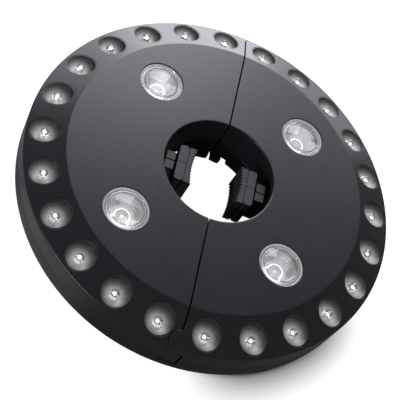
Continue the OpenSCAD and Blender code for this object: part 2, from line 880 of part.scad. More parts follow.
module left_rim_reflectors() {
    color("Silver") rim_reflectors();
}

module right_rim_reflectors() {
    color("Silver") right() rim_reflectors();
}

module left_rim_leds() {
    color("White") rim_leds();
}

module right_rim_leds() {
    color("White") right() rim_leds();
}

module left_main_reflectors() {
    color("Silver") main_reflectors();
}

module right_main_reflectors() {
    color("Silver") right() main_reflectors();
}

module left_main_lenses() {
    color("LightCyan", 0.5) main_lenses();
}

module right_main_lenses() {
    color("LightCyan", 0.5) right() main_lenses();
}

module left_main_leds() {
    color("White") main_leds();
}

module right_main_leds() {
    color("White") right() main_leds();
}

module left_led_board() {
    color("ForestGreen") led_board();
}

module right_led_board() {
    color("ForestGreen") right() led_board();
}

// ---- power ----

// local frame of a cell: +Z from its flat end to its tip
module at_cell(i) {
    s = i == 0 ? 1 : -1;
    translate([cell_x[i], s * (bay_l / 2 - plate_t - contact_spring_l), cell_z])
        rotate([s * 90, 0, 0]) children();
}

module cells() {
    for (i = [0, 1]) at_cell(i) {
        cylinder(r = cell_d / 2, h = cell_len - tip_l);
        cylinder(r = tip_r, h = cell_len);
    }
}

module contact_springs() {
    for (i = [0, 1]) at_cell(i) translate([0, 0, -contact_spring_l]) difference() {
        cylinder(r1 = spring_foot_r, r2 = spring_head_r, h = contact_spring_l);
        translate([0, 0, -cut]) cylinder(r = spring_hole_r, h = contact_spring_l + 2 * cut);
    }
}

module contact_plates() {
    end = bay_l / 2;
    low = cell_z - contact_h;
    tab_end = -end - bay_wall - tab_l;
    box([cell_x[1] - contact_w, end - plate_t, low], [cell_x[0] + contact_w, end, contact_top]);
    for (x = cell_x) {
        box([x - contact_w, -end, low], [x + contact_w, -end + plate_t, contact_top]);
        box([x - tab_w / 2, tab_end, contact_top - plate_t], [x + tab_w / 2, -end + plate_t, contact_top]);
    }
}

// leads from the contact tabs up to the underside of the board
module battery_leads() {
    y = -(bay_l / 2 + bay_wall + tab_l / 2);
    for (x = cell_x) translate([x, y, contact_top]) cylinder(r = lead_r, h = board_z - contact_top);
}

module left_cells() {
    color("Goldenrod") cells();
}

module right_cells() {
    color("Goldenrod") right() cells();
}

module left_contact_plates() {
    color("Silver") contact_plates();
}

module right_contact_plates() {
    color("Silver") right() contact_plates();
}

module left_contact_springs() {
    color("Silver") contact_springs();
}

module right_contact_springs() {
    color("Silver") right() contact_springs();
}

module left_battery_leads() {
    color("FireBrick") battery_leads();
}

module right_battery_leads() {
    color("FireBrick") right() battery_leads();
}

// ---- jaws ----

module jaw_slider() {
    top = pad_z + pad_h;
    block_top = top - block_drop;
    low_top = rib_top - slide_gap;
    difference() {
        union() {
            translate([-(pad_base + carrier_t / 2), 0, pad_z])
                slab(carrier_t, carrier_w, pad_h, carrier_round);
            box([-tail_at - cut, -stem_w / 2, pad_z], [-carrier_back + cut, stem_w / 2, low_top]);
            box([-(block_at + block_l), -stem_w / 2, pad_z], [-block_at, stem_w / 2, block_top]);
            box([-(tail_at + tail_t), -tail_w / 2, wall + slide_gap], [-tail_at, tail_w / 2, low_top]);
        }
        box([-(block_at + block_l + cut), -stem_slit / 2, block_top - slit_d],
            [-block_at + cut, stem_slit / 2, block_top + cut]);
        box([-carrier_back - cut, -mark_w / 2, top - mark_w], [-pad_base + cut, mark_w / 2, top + cut]);
    }
}

// the toothed pad, with a narrower neck where it meets its carrier
module grip_pad() {
    steps = 2 * pad_teeth;
    back = pad_base - pad_neck;
    neck_w = pad_w - 2 * pad_inset;
    translate([0, 0, pad_z]) linear_extrude(pad_h) polygon(concat(
        [[-back, -pad_w / 2]],
        [for (k = [0:steps]) let (y = -pad_w / 2 + k * pad_w / steps, h = k % 2 == 0 ? 0 : tooth_h)
            [-(pad_reach + h + pad_hollow * (1 - pow(2 * y / pad_w, 2))), y]],
        [[-back, pad_w / 2]]));
    box([-pad_base, -neck_w / 2, pad_z + pad_inset],
        [-back + pad_neck, neck_w / 2, pad_z + pad_h - pad_inset]);
}

module jaw_springs() {
    for (y = [-jaw_spring_y, jaw_spring_y]) translate([-(tail_at + tail_t), y, cell_z])
        rotate([0, -90, 0]) spring_tube(jaw_spring_r, jaw_spring_wire, jaw_spring_l);
}

module jaw_retainer() {
    way = stem_w / 2 + way_gap;
    difference() {
        box([-retainer_end, -retainer_w / 2, retainer_z],
            [-stop_at, retainer_w / 2, retainer_z + retainer_t]);
        box([-(block_at + block_l + jaw_travel + way_gap), -way, retainer_z - cut],
            [-stop_at + cut, way, retainer_z + retainer_t + cut]);
        for (p = retainer_places) translate([p[0], p[1], retainer_z - cut])
            cylinder(r = small_screw[0] + screw_gap, h = retainer_t + 2 * cut);
    }
}

module left_jaw_slider() {
    color("DarkSlateGray") jaw_slider();
}

module right_jaw_slider() {
    color("DarkSlateGray") right() jaw_slider();
}

module left_grip_pad() {
    color("DimGray") grip_pad();
}

module right_grip_pad() {
    color("DimGray") right() grip_pad();
}

module left_jaw_springs() {
    color("Silver") jaw_springs();
}

module right_jaw_springs() {
    color("Silver") right() jaw_springs();
}

module left_jaw_retainer() {
    color("DarkSlateGray") jaw_retainer();
}

module right_jaw_retainer() {
    color("DarkSlateGray") right() jaw_retainer();
}

// ---- fasteners ----

module cover_screws() {
    for (p = cover_places) polar(p) translate([0, 0, head_seat]) screw(cover_screw);
}

module small_screws() {
    for (p = board_places) polar(p) translate([0, 0, board_z]) screw(small_screw);
    for (p = retainer_places) translate([p[0], p[1], retainer_z + retainer_t])
        mirror([0, 0, 1]) screw(small_screw);
}

module left_cover_screws() {
    color("Gray") cover_screws();
}

module right_cover_screws() {
    color("Gray") right() cover_screws();
}

module left_small_screws() {
    color("Gray") small_screws();
}

module right_small_screws() {
    color("Gray") right() small_screws();
}

// ---- hanging hooks ----

// a hook that lies flat in its pocket, its shank along +Y from the pivot
module hook_shape() {
    bend_y = hook_shank + hook_r;
    translate([0, 0, hook_z]) difference() {
        union() {
            translate([-hook_barrel_w / 2, 0, 0]) rotate([0, 90, 0])
                cylinder(r = hook_barrel_r, h = hook_barrel_w);
            box([-hook_w / 2, 0, -hook_t / 2], [hook_w / 2, hook_shank + hook_root, hook_t / 2]);
            translate([0, bend_y, -hook_t / 2]) difference() {
                cylinder(r = hook_r + hook_t / 2, h = hook_t);
                translate([0, 0, -cut]) cylinder(r = hook_r - hook_t / 2, h = hook_t + 2 * cut);
                rotate([0, 0, hook_open_a])
                    box([0, 0, -cut], [hook_r + hook_t, hook_r + hook_t, hook_t + cut]);
            }
        }
        translate([-hook_barrel_w / 2 - cut, 0, 0]) rotate([0, 90, 0])
            cylinder(r = hook_pin_r + run_gap, h = hook_barrel_w + 2 * cut);
    }
}

module hook_pin() {
    translate([-pocket_left - hook_pin_in, 0, hook_z]) rotate([0, 90, 0])
        cylinder(r = hook_pin_r, h = pocket_left + pocket_right + 2 * hook_pin_in);
}

module left_hook() {
    color("DarkSlateGray") at_hook(1) hook_shape();
}

module right_hook() {
    color("DarkSlateGray") right() at_hook(-1) hook_shape();
}

module left_hook_pin() {
    color("Silver") at_hook(1) hook_pin();
}

module right_hook_pin() {
    color("Silver") right() at_hook(-1) hook_pin();
}

// ---- hinge, catch and switch ----

module hinge_pin() {
    color("Silver") at_hinge(pin_low) cylinder(r = pin_r, h = pin_high - pin_low);
}

module catch_button() {
    color("DarkSlateGray") {
        box([arm_left, arm_y, arm_z], [arm_right, riser_y + riser_t, arm_z + arm_t]);
        box([notch_x + slide_gap, post_y, arm_z],
            [notch_x + notch_w - slide_gap, post_y + post_l, tongue_z + tongue_t]);
        box([cap_left, riser_y, arm_z], [cap_right, riser_y + riser_t, cap_top]);
        box([cap_left, riser_y, cap_z - shoulder_h], [cap_right, shoulder_y, cap_top]);
        box([cap_left, riser_y, cap_z], [cap_right, disc_r + button_proud, cap_top]);
    }
}

module catch_spring() {
    color("Silver") translate([(arm_left + arm_right) / 2, arm_y, arm_z + catch_spring_r])
        rotate([90, 0, 0]) spring_tube(catch_spring_r, catch_spring_wire, catch_spring_l);
}

module power_button() {
    color("DarkSlateGray") at_button() {
        translate([0, 0, button_in]) cylinder(r = button_r, h = disc_r + button_proud - button_in);
        translate([0, 0, button_flange_at]) cylinder(r = button_flange_r, h = button_flange_t);
    }
}

module mode_switch() {
    color("Gainsboro") at_button() translate([0, 0, control_at + board_t]) {
        translate([-switch_w / 2, -switch_w / 2, 0]) cube([switch_w, switch_w, switch_t]);
        cylinder(r = plunger_r, h = switch_t + plunger_l);
    }
}

module control_board() {
    color("ForestGreen") rotate([0, 0, button_angle])
        box([control_at, -control_w / 2, wall], [control_at + board_t, control_w / 2, wall + control_h]);
}

left_front_cover();
left_rear_housing();
left_battery_door();
left_rim_reflectors();
left_rim_leds();
left_main_reflectors();
left_main_lenses();
left_main_leds();
left_led_board();
left_cells();
left_contact_plates();
left_contact_springs();
left_battery_leads();
left_jaw_slider();
left_grip_pad();
left_jaw_springs();
left_jaw_retainer();
left_cover_screws();
left_small_screws();
left_hook();
left_hook_pin();
right_front_cover();
right_rear_housing();
right_battery_door();
right_rim_reflectors();
right_rim_leds();
right_main_reflectors();
right_main_lenses();
right_main_leds();
right_led_board();
right_cells();
right_contact_plates();
right_contact_springs();
right_battery_leads();
right_jaw_slider();
right_grip_pad();
right_jaw_springs();
right_jaw_retainer();
right_cover_screws();
right_small_screws();
right_hook();
right_hook_pin();
hinge_pin();
catch_button();
catch_spring();
power_button();
mode_switch();
control_board();
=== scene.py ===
import json
import math

import bmesh
import bpy
from mathutils import Matrix, Vector


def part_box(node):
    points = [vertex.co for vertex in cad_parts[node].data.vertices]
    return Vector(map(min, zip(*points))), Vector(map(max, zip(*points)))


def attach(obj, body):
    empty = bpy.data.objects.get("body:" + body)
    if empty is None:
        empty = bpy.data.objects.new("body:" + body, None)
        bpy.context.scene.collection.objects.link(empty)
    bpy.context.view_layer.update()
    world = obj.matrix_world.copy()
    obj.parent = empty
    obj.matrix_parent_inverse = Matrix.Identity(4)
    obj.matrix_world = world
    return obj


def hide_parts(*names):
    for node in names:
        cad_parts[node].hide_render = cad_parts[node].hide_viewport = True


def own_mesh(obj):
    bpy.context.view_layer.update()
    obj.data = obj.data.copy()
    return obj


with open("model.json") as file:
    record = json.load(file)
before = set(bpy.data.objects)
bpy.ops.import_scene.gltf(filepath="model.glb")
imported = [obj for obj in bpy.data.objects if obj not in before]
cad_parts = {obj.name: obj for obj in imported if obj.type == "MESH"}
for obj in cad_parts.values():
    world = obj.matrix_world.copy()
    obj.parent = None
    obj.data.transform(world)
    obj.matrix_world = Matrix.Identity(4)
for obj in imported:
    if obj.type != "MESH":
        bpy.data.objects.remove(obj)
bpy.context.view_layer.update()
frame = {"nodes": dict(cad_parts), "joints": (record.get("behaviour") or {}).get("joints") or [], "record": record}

MM = 0.001
SIDES = ("left", "right")

# Where the lights sit, as in the solids.
RIM_ROW_R = 95 * MM
RIM_COUNT = 12
RIM_STEP = math.pi / RIM_COUNT
MAIN_R = 61.1 * MM
MAIN_ANGLES = (135, 225)
MAIN_OFFSET = MAIN_R / math.sqrt(2)

# Heights and sizes of the lights' own parts, in millimetres.
FOOT_Z = 20.3
LEG_Y = 1.27
RIM_FLANGE_Z = 24.5
RIM_DOME_R = 2.5
RIM_DOME_Z = RIM_FLANGE_Z + 3.3
RIM_DISH_Z = RIM_FLANGE_Z + 2.4
RIM_DISH_Y = -0.3
MAIN_LED_Z = 22.2
MAIN_LED_TOP = MAIN_LED_Z + 4.8
LENS_TOP = 35.4
CROWN_EDGE_R = 9.2
CROWN_RISE = 1.1

# Springs: wire radius and number of turns, and the play at a jaw coil's moving end.
JAW_WIRE, JAW_TURNS = 0.45 * MM, 8
CATCH_WIRE, CATCH_TURNS = 0.3 * MM, 7
COIL_PLAY = 0.05 * MM


# ---- shader expressions ----

class Value:
    """A socket that takes part in Python expressions."""

    def __init__(self, paint, socket):
        self.paint = paint
        self.socket = socket

    def of(self, output):
        return Value(self.paint, self.socket.node.outputs[output])

    def math(self, operation, *others):
        inputs = dict(enumerate((self, *others)))
        return self.paint.node("ShaderNodeMath", {"operation": operation}, inputs)

    def __add__(self, other):
        return self.math("ADD", other)

    def __sub__(self, other):
        return self.math("SUBTRACT", other)

    def __rsub__(self, other):
        return self.paint.node("ShaderNodeMath", {"operation": "SUBTRACT"}, {0: other, 1: self})

    def __mul__(self, other):
        return self.math("MULTIPLY", other)

    def __truediv__(self, other):
        return self.math("DIVIDE", other)

    def __mod__(self, other):
        return self.math("FLOORED_MODULO", other)

    def __abs__(self):
        return self.math("ABSOLUTE")

    def __gt__(self, other):
        return self.math("GREATER_THAN", other)

    def __lt__(self, other):
        return self.math("LESS_THAN", other)

    def smooth(self, low, high):
        """0 below low, 1 above high, smooth in between."""
        settings = {"interpolation_type": "SMOOTHSTEP"}
        inputs = {"Value": self, "From Min": low, "From Max": high}
        return self.paint.node("ShaderNodeMapRange", settings, inputs)

    __radd__ = __add__


class Paint:
    """The nodes of one material or of the world."""

    def __init__(self, name, owner=None):
        self.owner = owner or bpy.data.materials.new(name)
        self.owner.use_nodes = True
        self.tree = self.owner.node_tree
        self.tree.nodes.clear()

    def node(self, kind, settings=None, inputs=None):
        made = self.tree.nodes.new(kind)
        for name, value in (settings or {}).items():
            setattr(made, name, value)
        for name, value in (inputs or {}).items():
            if isinstance(value, Value):
                self.tree.links.new(value.socket, made.inputs[name])
            else:
                made.inputs[name].default_value = value
        return Value(self, made.outputs[0]) if made.outputs else made

    def mix(self, share, first, second):
        """A colour between two, by share."""
        shown = self.node("ShaderNodeMix", {"data_type": "RGBA"}, {0: share, 6: first, 7: second})
        return Value(self, shown.socket.node.outputs[2])

    def place(self):
        return self.node("ShaderNodeTexCoord").of("Object")

    def noise(self, scale, detail=2.0, roughness=0.5):
        inputs = {"Vector": self.place(), "Scale": scale, "Detail": detail, "Roughness": roughness}
        return self.node("ShaderNodeTexNoise", None, inputs)

    def axes(self):
        split = self.node("ShaderNodeSeparateXYZ", None, {"Vector": self.place()})
        return split.of("X"), split.of("Y"), split.of("Z")

    def bump(self, height, depth, strength=1.0, over=None):
        inputs = {"Strength": strength, "Distance": depth, "Height": height}
        if over:
            inputs["Normal"] = over
        return self.node("ShaderNodeBump", None, inputs)

    def broken_edges(self, radius):
        """The normal with its sharp edges broken, and a mask that is 1 on those edges."""
        rounded = self.node("ShaderNodeBevel", {"samples": 6}, {"Radius": radius})
        flat = self.node("ShaderNodeNewGeometry").of("Normal")
        turned = self.node("ShaderNodeVectorMath", {"operation": "DOT_PRODUCT"},
                           {0: rounded, 1: flat})
        return rounded, 1.0 - turned.of("Value").smooth(0.75, 0.99)

    def finish(self, **sockets):
        shader = self.node("ShaderNodeBsdfPrincipled", None,
                           {name.replace("_", " "): value for name, value in sockets.items()})
        self.show(shader)
        return self.owner

    def show(self, shader):
        self.node("ShaderNodeOutputMaterial", None, {"Surface": shader})


def rgb(red, green, blue):
    return (red, green, blue, 1.0)


def grey(level):
    return rgb(level, level, level)


def shaded(colour, share):
    """A colour made darker or lighter by a factor."""
    return rgb(*(part * share for part in colour))


# ---- finishes ----

EDGE_R = 0.3 * MM
GRAIN_DEPTH = 0.012 * MM
CLOUD_SHADE = 0.12
# How much lighter the edges are painted: partly wear, partly a painted highlight.
EDGE_WEAR_AND_HIGHLIGHT_SHADE = 2.2
TARNISH_SHADE = 0.72


def moulded_plastic(name, colour, gloss):
    """Spark-textured moulding: a fine grain, flow clouds, rubbed patches, and shinier edges made lighter, partly
    as wear and partly as a painted highlight.
    """
    paint = Paint(name)
    rounded, edge_wear_and_highlight = paint.broken_edges(EDGE_R)
    clouds = paint.noise(28.0, 3.0)
    grain = paint.noise(2400.0, 3.0, 0.6)
    rubbed = paint.noise(90.0, 4.0, 0.65).smooth(0.52, 0.75)
    cloudy = paint.mix(clouds, shaded(colour, 1 - CLOUD_SHADE), shaded(colour, 1 + CLOUD_SHADE))
    return paint.finish(
        # Edges painted lighter: partly wear, partly a painted highlight along them.
        Base_Color=paint.mix(edge_wear_and_highlight * 0.6, cloudy, shaded(colour, EDGE_WEAR_AND_HIGHLIGHT_SHADE)),
        Roughness=gloss + (grain - 0.5) * 0.1 - rubbed * 0.02 - edge_wear_and_highlight * 0.08,
        Normal=paint.bump(grain, GRAIN_DEPTH, 0.6, rounded))


def rubber(name):
    """Dark rubber with open pores and a little dust."""
    paint = Paint(name)
    dust = paint.noise(60.0, 5.0, 0.7).smooth(0.5, 0.8)
    pores = paint.noise(3200.0, 2.0)
    return paint.finish(
        Base_Color=paint.mix(dust, rgb(0.020, 0.019, 0.022), rgb(0.034, 0.033, 0.036)),
        Roughness=0.5 + (pores - 0.5) * 0.2,
        Normal=paint.bump(pores, 0.02 * MM, 0.7))


def bright_metal(name, colour, roughness):
    """Plated metal with fine marks and tarnish."""
    paint = Paint(name)
    marks = paint.noise(1500.0, 3.0, 0.6)
    tarnish = paint.noise(140.0, 4.0, 0.6).smooth(0.35, 0.75)
    return paint.finish(
        Base_Color=paint.mix(tarnish, rgb(*colour), shaded(colour, TARNISH_SHADE)),
        Metallic=1.0,
        Roughness=roughness + (marks - 0.5) * 0.18,
        Normal=paint.bump(marks, 0.006 * MM, 0.5))


def rim_reflector_finish():
    """Smoked metallised cups with a painted glow round the small light in each, in faint painted streaks and
    fading towards the mouth, and darker towards the mouth.
    """
    paint = Paint("smoked_reflector")
    x, y, z = paint.axes()
    turn = y.math("ARCTAN2", x)
    off = ((turn / RIM_STEP) % 1.0 - 0.5) * RIM_STEP
    row = (x * x + y * y).math("SQRT")
    side = row * off.math("SINE")
    out = row * off.math("COSINE") - RIM_ROW_R
    apart = (side * side + out * out).math("SQRT")
    # painted streaks in the glow, fanned round the small light
    painted_streaks = (out.math("ARCTAN2", side) * 9.0).math("SINE")
    fading = 1.0 - z.smooth(26.5 * MM, 31.0 * MM) * 0.94
    edge = apart.smooth(7.7 * MM, 7.8 * MM)
    nearness = 1.0 - apart.smooth(1.5 * MM, 7.4 * MM) * 0.88
    # painted glow: brightest at the small light, fading up the cup and out towards the mouth
    glow = fading * (1.0 - edge) * nearness * (0.35 + painted_streaks * 0.02)
    haze = paint.noise(700.0, 3.0)
    return paint.finish(
        Base_Color=paint.mix(apart.smooth(3.5 * MM, 7.4 * MM),
                             rgb(0.11, 0.11, 0.112), rgb(0.06, 0.06, 0.062)),
        Metallic=0.8,
        Roughness=0.34 + (haze - 0.5) * 0.12,
        Normal=paint.bump(haze, 0.01 * MM, 0.4),
        Emission_Color=paint.mix(glow, grey(0.0), rgb(1.0, 0.99, 0.98)),
        Emission_Strength=1.0)


def from_main_light(paint):
    """Distance from the axis of the nearest main light."""
    x, y, z = paint.axes()
    side = abs(x) - MAIN_OFFSET
    out = abs(y) - MAIN_OFFSET
    return (side * side + out * out).math("SQRT")


def main_reflector_finish():
    """Bright metallised bowls with a faint painted glow, and a duller seat for the lens."""
    paint = Paint("bright_reflector")
    seat = from_main_light(paint).smooth(9.3 * MM, 9.45 * MM)
    haze = paint.noise(500.0, 3.0)
    return paint.finish(
        Base_Color=paint.mix(seat, rgb(0.40, 0.40, 0.41), rgb(0.12, 0.12, 0.13)),
        Metallic=1.0,
        Roughness=0.2 + (haze - 0.5) * 0.04 + seat * 0.15,
        Normal=paint.bump(haze, 0.01 * MM, 0.12),
        # painted glow in the bowls, fainter on the seat
        Emission_Color=paint.mix(0.12 - seat * 0.06, grey(0.0), grey(1.0)),
        Emission_Strength=1.0)


def main_light_finish():
    """Milky cap with a pale spot over the die and a bright ring round it."""
    paint = Paint("led_cap_lit")
    apart = from_main_light(paint)
    cells = paint.noise(1400.0, 2.0)
    spot = 1.0 - apart.smooth(0.3 * MM, 1.1 * MM)
    ring = apart.smooth(3.2 * MM, 3.35 * MM)
    glow = spot * 0.38 + ring * 0.6 + 0.2 + (cells - 0.5) * 0.12
    return paint.finish(
        Base_Color=paint.mix(ring, rgb(0.40, 0.41, 0.40), rgb(0.85, 0.85, 0.86)),
        Roughness=0.22,
        Emission_Color=paint.mix(glow, grey(0.0), rgb(0.98, 1.0, 0.98)),
        Emission_Strength=1.0)


def clear_resin(paint, tint, roughness, glow):
    """Clear moulded resin with a faint ripple, and a glow given by the caller: the light's own in a dome, painted
    on a lens.
    """
    ripple = paint.noise(260.0, 2.0)
    return paint.finish(
        Base_Color=tint,
        Roughness=roughness + (ripple - 0.5) * 0.02,
        IOR=1.47,
        Transmission_Weight=1.0,
        Normal=paint.bump(ripple, 0.01 * MM, 0.25),
        Emission_Color=paint.mix(glow, grey(0.0), rgb(1.0, 1.0, 0.99)),
        Emission_Strength=1.0)


def small_dome_finish():
    """Clear resin, a little milky with the light of its die, and brighter along its flange."""
    paint = Paint("led_resin_clear")
    x, y, z = paint.axes()
    lit_z, lit_half_width = (RIM_FLANGE_Z + 0.98) * MM, 0.12 * MM
    flange = 1.0 - (abs(z - lit_z) / lit_half_width).smooth(0.6, 1.0)
    return clear_resin(paint, rgb(0.98, 0.99, 1.0), 0.03, flange * 0.3 + 0.06)


# painted glow rings on the lens: radius and half width in millimetres, and strength
LENS_PAINTED_RINGS = ((10.3, 0.3, 0.14), (11.3, 0.25, 0.09), (12.1, 0.3, 0.22))


def lens_finish():
    """Clear lens with thin bright rings of painted glow on the steps near its edge."""
    paint = Paint("lens_clear")
    apart = from_main_light(paint)
    # painted glow: faint beyond the crown, and thin bright rings near the edge
    glow = apart.smooth(9.9 * MM, 10.2 * MM) * 0.02
    for radius, half_width, strength in LENS_PAINTED_RINGS:
        off = abs(apart - radius * MM) / (half_width * MM)
        glow = glow + (1.0 - off.smooth(0.3, 1.0)) * strength
    return clear_resin(paint, rgb(0.97, 0.98, 0.99), 0.02, glow)


def lit_phosphor_finish():
    """Glowing fill in the dish of a small light, brighter and paler in patches."""
    paint = Paint("led_phosphor_lit")
    cells = paint.noise(2600.0, 2.0).smooth(0.4, 0.62)
    return paint.finish(
        Base_Color=rgb(0.9, 0.88, 0.7),
        Roughness=0.5,
        Emission_Color=paint.mix(cells, rgb(0.3, 0.3, 0.27), rgb(1.0, 1.0, 0.97)),
        Emission_Strength=1.9)


def solder_mask(name):
    """Green lacquer, lighter and raised over its slanting tracks."""
    paint = Paint(name)
    x, y, z = paint.axes()
    tracks = abs(((x + y) / (4.2 * MM)) % 1.0 - 0.5).smooth(0.30, 0.34)
    fibre = paint.noise(900.0, 3.0)
    return paint.finish(
        Base_Color=paint.mix(tracks, rgb(0.012, 0.085, 0.032), rgb(0.02, 0.14, 0.05)),
        Roughness=0.32 + (fibre - 0.5) * 0.1,
        Normal=paint.bump(tracks + fibre * 0.2, 0.03 * MM, 0.6))


def cell_wrap(name):
    """A plain dark wrap with a pale band towards each end, and bare metal ends."""
    paint = Paint(name)
    x, y, z = paint.axes()
    band = abs(abs(y) - 17 * MM) < 2 * MM
    ends = abs(y) > 25.1 * MM
    scuffs = paint.noise(300.0, 5.0, 0.7).smooth(0.6, 0.8)
    wrap = paint.mix(band, rgb(0.03, 0.035, 0.045), rgb(0.55, 0.56, 0.58))
    return paint.finish(
        Base_Color=paint.mix(ends, wrap, rgb(0.6, 0.6, 0.58)),
        Metallic=ends,
        Roughness=0.28 + scuffs * 0.2)


FINISHES = {
    "cover_plastic": moulded_plastic("cover_plastic_satin", (0.0122, 0.0115, 0.0155), 0.29),
    "housing_plastic": moulded_plastic("housing_plastic_satin", (0.0112, 0.0106, 0.0142), 0.38),
    "jaw_plastic": moulded_plastic("jaw_plastic_satin", (0.0160, 0.0152, 0.0185), 0.42),
    "button_plastic": moulded_plastic("button_plastic_satin", (0.018, 0.018, 0.020), 0.4),
    "switch_plastic": moulded_plastic("switch_plastic_matt", (0.06, 0.06, 0.06), 0.5),
    "grip_rubber": rubber("grip_rubber_matt"),
    "steel": bright_metal("zinc_steel", (0.60, 0.60, 0.60), 0.32),
    "contact": bright_metal("nickel_spring_steel", (0.72, 0.70, 0.66), 0.24),
    "lead": moulded_plastic("lead_sleeve", (0.32, 0.02, 0.015), 0.45),
    "board": solder_mask("solder_mask_green"),
    "cell": cell_wrap("cell_wrap_plain"),
    "lens": lens_finish(),
    "rim_led": small_dome_finish(),
    "main_led": main_light_finish(),
    "rim_phosphor": lit_phosphor_finish(),
    "rim_reflector": rim_reflector_finish(),
    "main_reflector": main_reflector_finish(),
}


# ---- modelling helpers ----

def put(name, mesh, finish, body, stands_for=()):
    """Makes a mesh a piece of the lamp."""
    piece = bpy.data.objects.new(name, mesh)
    bpy.context.scene.collection.objects.link(piece)
    mesh.materials.clear()
    mesh.materials.append(finish)
    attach(piece, body)
    if stands_for:
        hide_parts(*stands_for)
    return piece


def to_mesh(work, name, smooth_angle):
    """A mesh that is smooth except across edges sharper than an angle in degrees."""
    mesh = bpy.data.meshes.new(name)
    work.to_mesh(mesh)
    work.free()
    mesh.shade_smooth()
    mesh.set_sharp_from_angle(angle=math.radians(smooth_angle))
    return mesh


def arc(centre_r, centre_z, radius, start, end, steps):
    """Points of an arc between two angles in degrees, as (r, z)."""
    turns = [math.radians(start + (end - start) * k / steps) for k in range(steps + 1)]
    return [(centre_r + radius * math.cos(t), centre_z + radius * math.sin(t)) for t in turns]


def spun(profile, segments):
    """A solid of revolution from an outline of (r, z) points in millimetres."""
    work = bmesh.new()
    points = [work.verts.new((r * MM, 0, z * MM)) for r, z in profile]
    lines = [work.edges.new(pair) for pair in zip(points, points[1:])]
    bmesh.ops.spin(work, geom=points + lines, cent=(0, 0, 0), axis=(0, 0, 1), dvec=(0, 0, 0),
                   angle=math.tau, steps=segments, use_merge=True, use_duplicate=False)
    bmesh.ops.remove_doubles(work, verts=work.verts, dist=0.0005 * MM)
    bmesh.ops.recalc_face_normals(work, faces=work.faces)
    return work


def bar(work, low, high):
    """Adds a box between two corners in millimetres."""
    size = [(h - l) * MM for l, h in zip(low, high)]
    middle = [(l + h) / 2 * MM for l, h in zip(low, high)]
    place = Matrix.Translation(middle) @ Matrix.Diagonal(size + [1])
    bmesh.ops.create_cube(work, size=1, matrix=place)


def into_dish(work):
    """Moves a small light's dish, or the fill in it, off the axis to its place."""
    place = Matrix.Translation((0, RIM_DISH_Y * MM, 0))
    bmesh.ops.transform(work, matrix=place, verts=work.verts)


def turned_to(direction):
    """The turn that brings +Z to a direction."""
    return direction.to_track_quat("Z", "Y").to_matrix().to_4x4()


def copies(template, places):
    """One mesh that holds the template at every place."""
    model = bpy.data.meshes.new("template")
    template.to_mesh(model)
    template.free()
    whole = bmesh.new()
    for place in places:
        known = len(whole.verts)
        whole.from_mesh(model)
        whole.verts.ensure_lookup_table()
        bmesh.ops.transform(whole, matrix=place, verts=whole.verts[known:])
    bpy.data.meshes.remove(model)
    return whole


# ---- the lights ----

def rim_places(side):
    """Upright frames of a half's small lights, turned with the rim."""
    sign = -1 if side == "left" else 1
    turns = [math.pi / 2 - sign * RIM_STEP * (k + 0.5) for k in range(RIM_COUNT)]
    out = Matrix.Translation((RIM_ROW_R, 0, 0))
    return [Matrix.Rotation(turn, 4, "Z") @ out for turn in turns]


def main_places(side):
    """Upright frames of a half's main lights, which aren't turned."""
    places = []
    for angle in MAIN_ANGLES:
        turn = math.radians(angle if side == "left" else 180 - angle)
        places.append(Matrix.Translation((MAIN_R * math.cos(turn), MAIN_R * math.sin(turn), 0)))
    return places


def rim_dome():
    """Clear 5 mm resin body: flange, barrel and dome."""
    low = RIM_FLANGE_Z
    flange = [(0, low), (2.8, low), (2.9, low + 0.1), (2.9, low + 0.9), (2.8, low + 1),
              (RIM_DOME_R, low + 1.05)]
    return spun(flange + arc(0, RIM_DOME_Z, RIM_DOME_R, 0, 90, 9), 28)


def rim_lead_frame():
    """Two posts with the dished anvil that holds the die, and their legs."""
    low = RIM_DISH_Z
    work = spun([(0, low + 0.3), (0.3, low + 0.3), (0.45, low + 0.4), (0.8, low + 1.0),
                 (0.9, low + 1.0), (0.9, low + 0.5), (0.6, low), (0, low)], 20)
    into_dish(work)
    for y, top in ((-LEG_Y, low + 0.4), (LEG_Y, low + 0.9)):
        bar(work, (-0.25, y - 0.25, FOOT_Z), (0.25, y + 0.25, top))
    bar(work, (-0.25, -1.3, low - 0.4), (0.25, -0.2, low + 0.1))
    bar(work, (-0.25, 0.75, low + 0.6), (0.25, 1.5, low + 0.9))
    return work


def rim_phosphor():
    """The lit fill, heaped in the dish in a few flat facets."""
    low = RIM_DISH_Z + 0.45
    work = spun([(0, low), (0.35, low), (0.56, low + 0.35), (0.3, low + 0.65), (0, low + 0.7)], 5)
    into_dish(work)
    return work


def main_cap():
    """Milky body: flange, barrel, a rounded ring and the sunk cap inside it."""
    low, top = MAIN_LED_Z, MAIN_LED_TOP
    return spun(
        [(0, low), (4.4, low), (4.5, low + 0.1), (4.5, low + 1), (4.4, low + 1.1),
         (4.0, low + 1.1), (4.0, top - 0.45)]
        + arc(3.55, top - 0.45, 0.45, 0, 180, 6)
        + [(3.05, top - 0.6), (2.2, top - 0.36), (1.2, top - 0.22), (0, top - 0.16)], 48)


def main_legs():
    """The two legs of a main light."""
    work = bmesh.new()
    for y in (-LEG_Y, LEG_Y):
        bar(work, (-0.3, y - 0.3, FOOT_Z), (0.3, y + 0.3, MAIN_LED_Z + 0.5))
    return work


def main_lens():
    """Clear lens: a rounded edge bead, a channel inside it and a domed crown."""
    crown_r = (CROWN_EDGE_R ** 2 + CROWN_RISE ** 2) / (2 * CROWN_RISE)
    edge = math.degrees(math.acos(CROWN_EDGE_R / crown_r))
    return spun(
        [(0, 33.0), (12.1, 33.0), (12.3, 33.2)]
        + arc(11.9, 34.0, 0.4, 0, 180, 6)
        + [(11.2, 33.7), (10.0, 33.7), (9.6, 33.9)]
        + arc(0, LENS_TOP - crown_r, crown_r, edge, 90, 10), 72)


